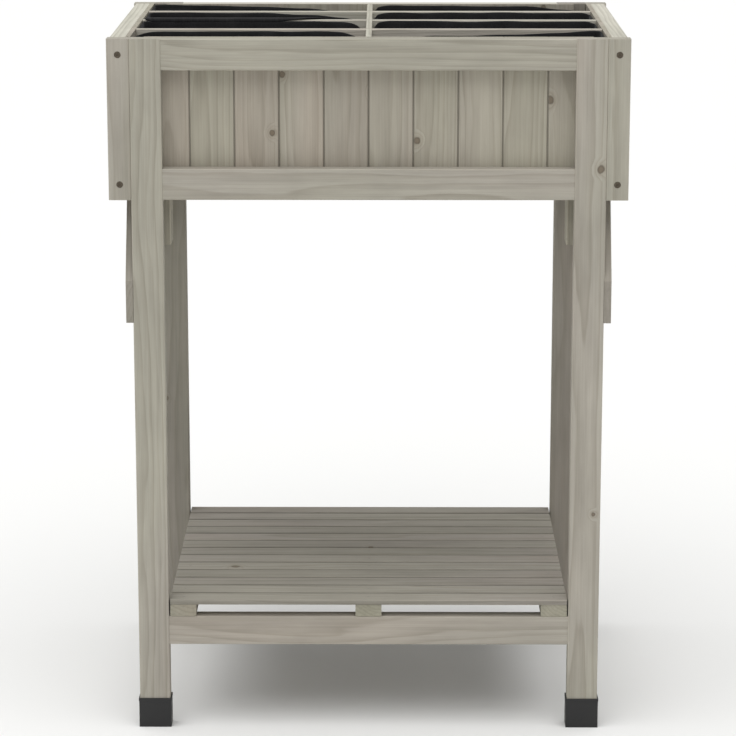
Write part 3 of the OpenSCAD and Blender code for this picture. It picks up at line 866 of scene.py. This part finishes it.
# %% [markdown]
# Cloth simulation makes the sag. The felt is given a little more area than its cell, its top edge is held,
# and gravity pulls for one second. What lies on a corner post is held too. Real walls stop the cloth where it
# bulges outwards, so afterwards each point is kept inside its cell. Every pocket has its own seed, so no two
# hang alike, and its points are counted by their place, so that it hangs the same in every run.

# %% Let a pocket sag, and keep it in its cell
SAG_FRAMES = 24
FELT_GROWTH = 0.055
FELT_THICK = 0.0011
FELT_CLOTH = {"quality": 5, "mass": 0.12, "tension_stiffness": 12, "compression_stiffness": 6,
              "shear_stiffness": 4, "bending_stiffness": 0.4, "shrink_min": -FELT_GROWTH}


def sag(piece, post=None):
    """Hangs the pocket from its top edge, and from the post that it lies over, under its own weight."""
    alone(piece)
    tacked = piece.vertex_groups.new(name="tacked")
    rim_edges = {}
    for polygon in piece.data.polygons:
        for key in polygon.edge_keys:
            rim_edges[key] = rim_edges.get(key, 0) + 1
    held = {v for key, count in rim_edges.items() if count == 1 for v in key}
    if post:
        held |= {v.index for v in piece.data.vertices
                 if near_post(v.co, post) and v.co.z < post[0].z + POST_GAP}
    tacked.add(sorted(held), 1.0, "REPLACE")
    cloth = piece.modifiers.new("felt", "CLOTH")
    for setting, value in FELT_CLOTH.items():
        setattr(cloth.settings, setting, value)
    cloth.settings.vertex_group_mass = tacked.name
    cloth.collision_settings.use_collision = False
    frames = SAG_FRAMES
    cloth.point_cache.frame_start = 1
    cloth.point_cache.frame_end = frames
    for frame_number in range(1, frames + 1):
        scene.frame_set(frame_number)
    bpy.ops.object.modifier_apply(modifier=cloth.name)
    scene.frame_set(1)


def keep_inside(piece, lowest, highest, post=None):
    """Presses each point back inside the cell, and out of the corner post to its nearest face."""
    for vertex in piece.data.vertices:
        spot = vertex.co
        spot.x = min(max(spot.x, lowest.x), highest.x)
        spot.y = min(max(spot.y, lowest.y), highest.y)
        spot.z = max(spot.z, lowest.z)
        if post:
            corner, outward = post
            deep = [(spot - corner).x * outward.x, (spot - corner).y * outward.y, corner.z - spot.z]
            if min(deep) > 0:
                nearest = deep.index(min(deep))
                spot[nearest] = corner[nearest]


def finish_felt(piece):
    """Gives the sheet its thickness and a smooth surface."""
    wall = piece.modifiers.new("thickness", "SOLIDIFY")
    wall.thickness = FELT_THICK
    wall.offset = -1
    smooth = piece.modifiers.new("smooth", "SUBSURF")
    smooth.levels = 1
    smooth.render_levels = 1
    apply_all(piece)
    bpy.ops.object.shade_smooth()


print("frames:", SAG_FRAMES)

# %% [markdown]
# Non-woven felt is a mat of short fibres, bonded in a fine lattice of points. It hardly shines, but its loose
# fibres catch light at the edges, which a little sheen gives. The pattern reads the pocket's own UV map, laid
# on while it was flat, so it follows every crease.


# %% The felt's finish
def black_felt():
    """Black non-woven felt with a bonded lattice."""
    material, tree, shader = new_material("black_felt")
    flat = add(tree, "ShaderNodeUVMap").outputs[0]
    fibres = add(tree, "ShaderNodeTexNoise", {"Vector": flat, "Scale": 900, "Detail": 4.0,
                                               "Distortion": 1.2}).outputs["Fac"]
    dust = add(tree, "ShaderNodeTexNoise", {"Vector": flat, "Scale": 14, "Detail": 4.0}).outputs["Fac"]
    points = add(tree, "ShaderNodeTexVoronoi", {"Vector": flat, "Scale": 620, "Randomness": 0.0})
    bond = remap(tree, points.outputs["Distance"], 0.12, 0.38)
    colour = blend_colour(tree, remap(tree, fibres, 0.35, 0.75), paint(20, 20, 21), paint(40, 40, 41))
    dusty = calc(tree, "MULTIPLY", remap(tree, dust, 0.5, 0.8), 0.35)
    colour = blend_colour(tree, dusty, colour, paint(62, 60, 56))
    tree.links.new(colour, shader.inputs["Base Color"])
    tree.links.new(remap(tree, fibres, 0.3, 0.7, 0.86, 0.98), shader.inputs["Roughness"])
    height = calc(tree, "MULTIPLY_ADD", bond, 0.6, calc(tree, "MULTIPLY", fibres, 0.8))
    bumpy(tree, shader, height, 0.5, 0.0003)
    shader.inputs["Sheen Weight"].default_value = 0.08
    shader.inputs["Sheen Roughness"].default_value = 0.5
    shader.inputs["Specular IOR Level"].default_value = 0.2
    return material


FELT = black_felt()
print("felt:", FELT.name)

# %% [markdown]
# On the third cell from the front, on the left, the felt was cut too long. Its spare edge is folded forward
# over the middle divider and hangs a few millimetres down the far side.

# %% The hem that folds over the middle divider
HEM_RISE = 0.0012
HEM_DOWN = 0.004
HEM_FULL = 0.56
HEM_END = 0.88
HEM_STEPS = 6


def hem_place(reach, start, top, far):
    """Where the hem is after so much cloth: up to the divider's top, across it, then down its far side."""
    rise = top - start.z
    across = start.y - far
    if reach < rise:
        return start.y, start.z + reach
    if reach < rise + across:
        return start.y - (reach - rise), top
    return far, top - (reach - rise - across)


def fold_hem(piece, lowest, highest, far_face):
    """Pulls the pocket's front edge up, over the divider and down again. It narrows towards its free end."""
    alone(piece)
    bpy.ops.object.mode_set(mode="EDIT")
    end_x = lowest.x + (highest.x - lowest.x) * HEM_END
    pick(piece, "edges", lambda e: e.is_boundary and middle_of(e).y < lowest.y + 0.004
         and lowest.x + POCKET_CORNER < middle_of(e).x < end_x)
    mesh = bmesh.from_edit_mesh(piece.data)
    starts = {round(v.co.x, 6): v.co.copy() for v in mesh.verts if v.select}
    first = min(starts)
    top = RIM + HEM_RISE
    for step in range(1, HEM_STEPS + 1):
        bpy.ops.mesh.extrude_edges_move()
        mesh = bmesh.from_edit_mesh(piece.data)
        for vertex in [v for v in mesh.verts if v.select]:
            start = starts[min(starts, key=lambda x: abs(x - vertex.co.x))]
            whole = top - start.z + (start.y - far_face) + HEM_DOWN
            part = (start.x - lowest.x) / (highest.x - lowest.x)
            narrow = 1 - 0.93 * max(0.0, (part - HEM_FULL) / (HEM_END - HEM_FULL)) ** 2
            vertex.co.y, vertex.co.z = hem_place(whole * narrow * step / HEM_STEPS, start, top, far_face)
        bmesh.update_edit_mesh(piece.data)
    mesh = bmesh.from_edit_mesh(piece.data)
    for vertex in mesh.verts:
        if vertex.co.z > RIM and vertex.co.x < first + 0.001:
            vertex.co.x = lowest.x + HEM_RISE
    bmesh.update_edit_mesh(piece.data)
    bpy.ops.object.mode_set(mode="OBJECT")


print("hem reaches", HEM_END, "of the way to the centre divider")

# %% [markdown]
# Now each cell gets its pocket. The four corner cells have a post in one corner, so their pockets are given
# the step over it.

# %% Make the eight pockets
POCKET_SEED = 5.3

for seed, (cell, line) in enumerate(BACK_LINES.items()):
    node = "liner_" + cell
    lowest, highest = (Vector(c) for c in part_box(node))
    lowest += Vector((POCKET_GAP, POCKET_GAP, POCKET_GAP))
    highest -= Vector((POCKET_GAP, POCKET_GAP, 0))
    post = None
    if cell[3] in "14":
        end = "front" if cell[3] == "1" else "back"
        side = cell.split("_")[1]
        post_box = [Vector(c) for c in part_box("corner_post_" + end + "_" + side)]
        outward = Vector((-1 if side == "left" else 1, -1 if end == "front" else 1, 0))
        inner = Vector((post_box[1].x if outward.x < 0 else post_box[0].x,
                        post_box[1].y if outward.y < 0 else post_box[0].y, post_box[1].z))
        post = (inner - outward * POST_GAP + Vector((0, 0, POST_GAP)), outward)
    piece = pocket_net("pocket_" + cell, lowest, highest, post)
    droop(piece, lowest, highest, line, seed * POCKET_SEED, post)
    sag(piece, post)
    keep_inside(piece, lowest, highest, post)
    if cell == "row3_left":
        divider_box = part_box("cross_divider_middle")
        fold_hem(piece, lowest, highest, divider_box[0][1] - HEM_RISE)
    finish_felt(piece)
    settle(piece, FELT, node)

# %% [markdown]
# ## Screws
# Dark coated screws with a six-lobed drive hold the stiles, posts and braces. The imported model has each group
# as one node, so a short search finds every screw in it: where its head is and which way it points. One screw
# is modelled with a countersunk head, its recess and a tapered point, then copied and turned into each place.


# %% Find the screws of a group
def solids_of(node):
    """The points of each separate solid in a node, found by walking its merged mesh."""
    mesh = bmesh.new()
    mesh.from_mesh(nodes[node].data)
    bmesh.ops.remove_doubles(mesh, verts=mesh.verts, dist=0.00001)
    found = []
    waiting = set(mesh.verts)
    while waiting:
        ahead = [waiting.pop()]
        solid = list(ahead)
        while ahead:
            for edge in ahead.pop().link_edges:
                for vertex in edge.verts:
                    if vertex in waiting:
                        waiting.remove(vertex)
                        ahead.append(vertex)
                        solid.append(vertex)
        found.append([v.co.copy() for v in solid])
    mesh.free()
    return found


def screw_line(points):
    """A screw's head centre, the way that it points, and its length."""
    lowest = Vector([min(p[axis] for p in points) for axis in range(3)])
    highest = Vector([max(p[axis] for p in points) for axis in range(3)])
    size = highest - lowest
    axis = max(range(3), key=lambda a: size[a])
    centre = (lowest + highest) / 2

    def spread(end):
        ring = [p for p in points if abs(p[axis] - end) < 0.0004]
        return max((p - centre - (p - centre).project(Vector([float(a == axis) for a in range(3)]))).length
                   for p in ring)

    head_low = spread(lowest[axis]) > spread(highest[axis])
    head = centre.copy()
    head[axis] = lowest[axis] if head_low else highest[axis]
    way = Vector([0.0, 0.0, 0.0])
    way[axis] = 1.0 if head_low else -1.0
    return head, way, size[axis]


screws = {}
for node in ("stile_screws", "post_screws", "brace_screws"):
    found = [screw_line(points) for points in solids_of(node)]
    screws[node] = sorted(found, key=lambda s: tuple(round(c, 5) for c in s[0]))
    print(node, len(found), "screws of", round(1000 * found[0][2], 1), "mm")

# %% [markdown]
# A screw is a stack of rings. A disc is pulled down from one ring to the next: the countersunk head, the
# plain shank, the thread's ridges and the point. Then a six-lobed recess is sunk into the head.

# %% The screw
HEAD_RADIUS = 0.0037
HEAD_FACE = HEAD_RADIUS * 0.96
POINT_RADIUS = 0.0002
SCREW_SIDES = 24
LOBES = 6
LOBE_DEPTH = 0.16
SHANK_RADIUS = 0.0018
THREAD_RADIUS = 0.00225
DRIVE_RADIUS = 0.0018
DRIVE_DEPTH = 0.0014
HEAD_DEPTH = 0.0024
THREAD_PITCH = 0.0022


def lathe(name, outline, steps):
    """Pulls a disc down through an outline of (radius, depth) points, into a closed body."""
    alone()
    bpy.ops.mesh.primitive_circle_add(vertices=steps, radius=outline[0][0], fill_type="NGON",
                                      location=(0, 0, -outline[0][1]))
    piece = bpy.context.object
    piece.name = name
    bpy.ops.object.transform_apply(location=True, rotation=True, scale=True)
    bpy.ops.object.mode_set(mode="EDIT")
    for (before, depth), (radius, next_depth) in zip(outline, outline[1:]):
        bpy.ops.mesh.extrude_region_move(TRANSFORM_OT_translate={"value": (0, 0, depth - next_depth)})
        bpy.ops.transform.resize(value=(radius / before, radius / before, 1))
    return piece


def screw(name, length):
    """One screw along -Z, with its head's face at the origin."""
    outline = [(HEAD_FACE, 0.0), (HEAD_RADIUS, 0.0003), (HEAD_RADIUS, 0.0006),
               (SHANK_RADIUS, HEAD_DEPTH), (SHANK_RADIUS, length * 0.4)]
    depth = length * 0.4
    while depth < length - 3 * THREAD_PITCH:
        outline += [(THREAD_RADIUS, depth + THREAD_PITCH * 0.3), (SHANK_RADIUS * 0.85, depth + THREAD_PITCH)]
        depth += THREAD_PITCH
    outline += [(SHANK_RADIUS * 0.8, length - 2 * THREAD_PITCH), (POINT_RADIUS, length)]
    piece = lathe(name, outline, SCREW_SIDES)
    bpy.ops.mesh.select_all(action="SELECT")
    bpy.ops.mesh.normals_make_consistent(inside=False)
    pick(piece, "faces", lambda f: f.normal.z > 0.9 and f.calc_center_median().z > -0.0001)
    bpy.ops.mesh.inset(thickness=HEAD_FACE - DRIVE_RADIUS)
    mesh = bmesh.from_edit_mesh(piece.data)
    for vertex in mesh.verts:
        if vertex.select:
            turn = math.atan2(vertex.co.y, vertex.co.x)
            vertex.co *= 1 + LOBE_DEPTH * math.cos(LOBES * turn)
            vertex.co.z = 0.0
    bmesh.update_edit_mesh(piece.data)
    bpy.ops.mesh.extrude_region_move(TRANSFORM_OT_translate={"value": (0, 0, -DRIVE_DEPTH)})
    bpy.ops.object.mode_set(mode="OBJECT")
    alone(piece)
    bpy.ops.object.shade_smooth_by_angle(angle=math.radians(40))
    return piece


def place_screws(node):
    """Copies one screw to every place of a group and joins the copies."""
    lines = screws[node]
    copies = []
    made = {}
    for head, way, length in lines:
        key = round(length, 4)
        if key not in made:
            made[key] = screw(node + "_driven", length)
            copy = made[key]
        else:
            copy = made[key].copy()
            copy.data = made[key].data.copy()
            scene.collection.objects.link(copy)
        copies.append((copy, head, way))
    for copy, head, way in copies:
        copy.rotation_euler = (-way).to_track_quat("Z", "X" if abs(way.x) < 0.5 else "Y").to_euler()
        copy.location = head
    alone()
    for copy, head, way in copies:
        copy.select_set(True)
    bpy.context.view_layer.objects.active = copies[0][0]
    bpy.ops.object.transform_apply(location=True, rotation=True, scale=True)
    bpy.ops.object.join()
    piece = bpy.context.object
    piece.name = node + "_driven"
    settle(piece, SCREW_STEEL, node)
    return piece


for node in screws:
    piece = place_screws(node)
    print(piece.name, "faces:", len(piece.data.polygons))
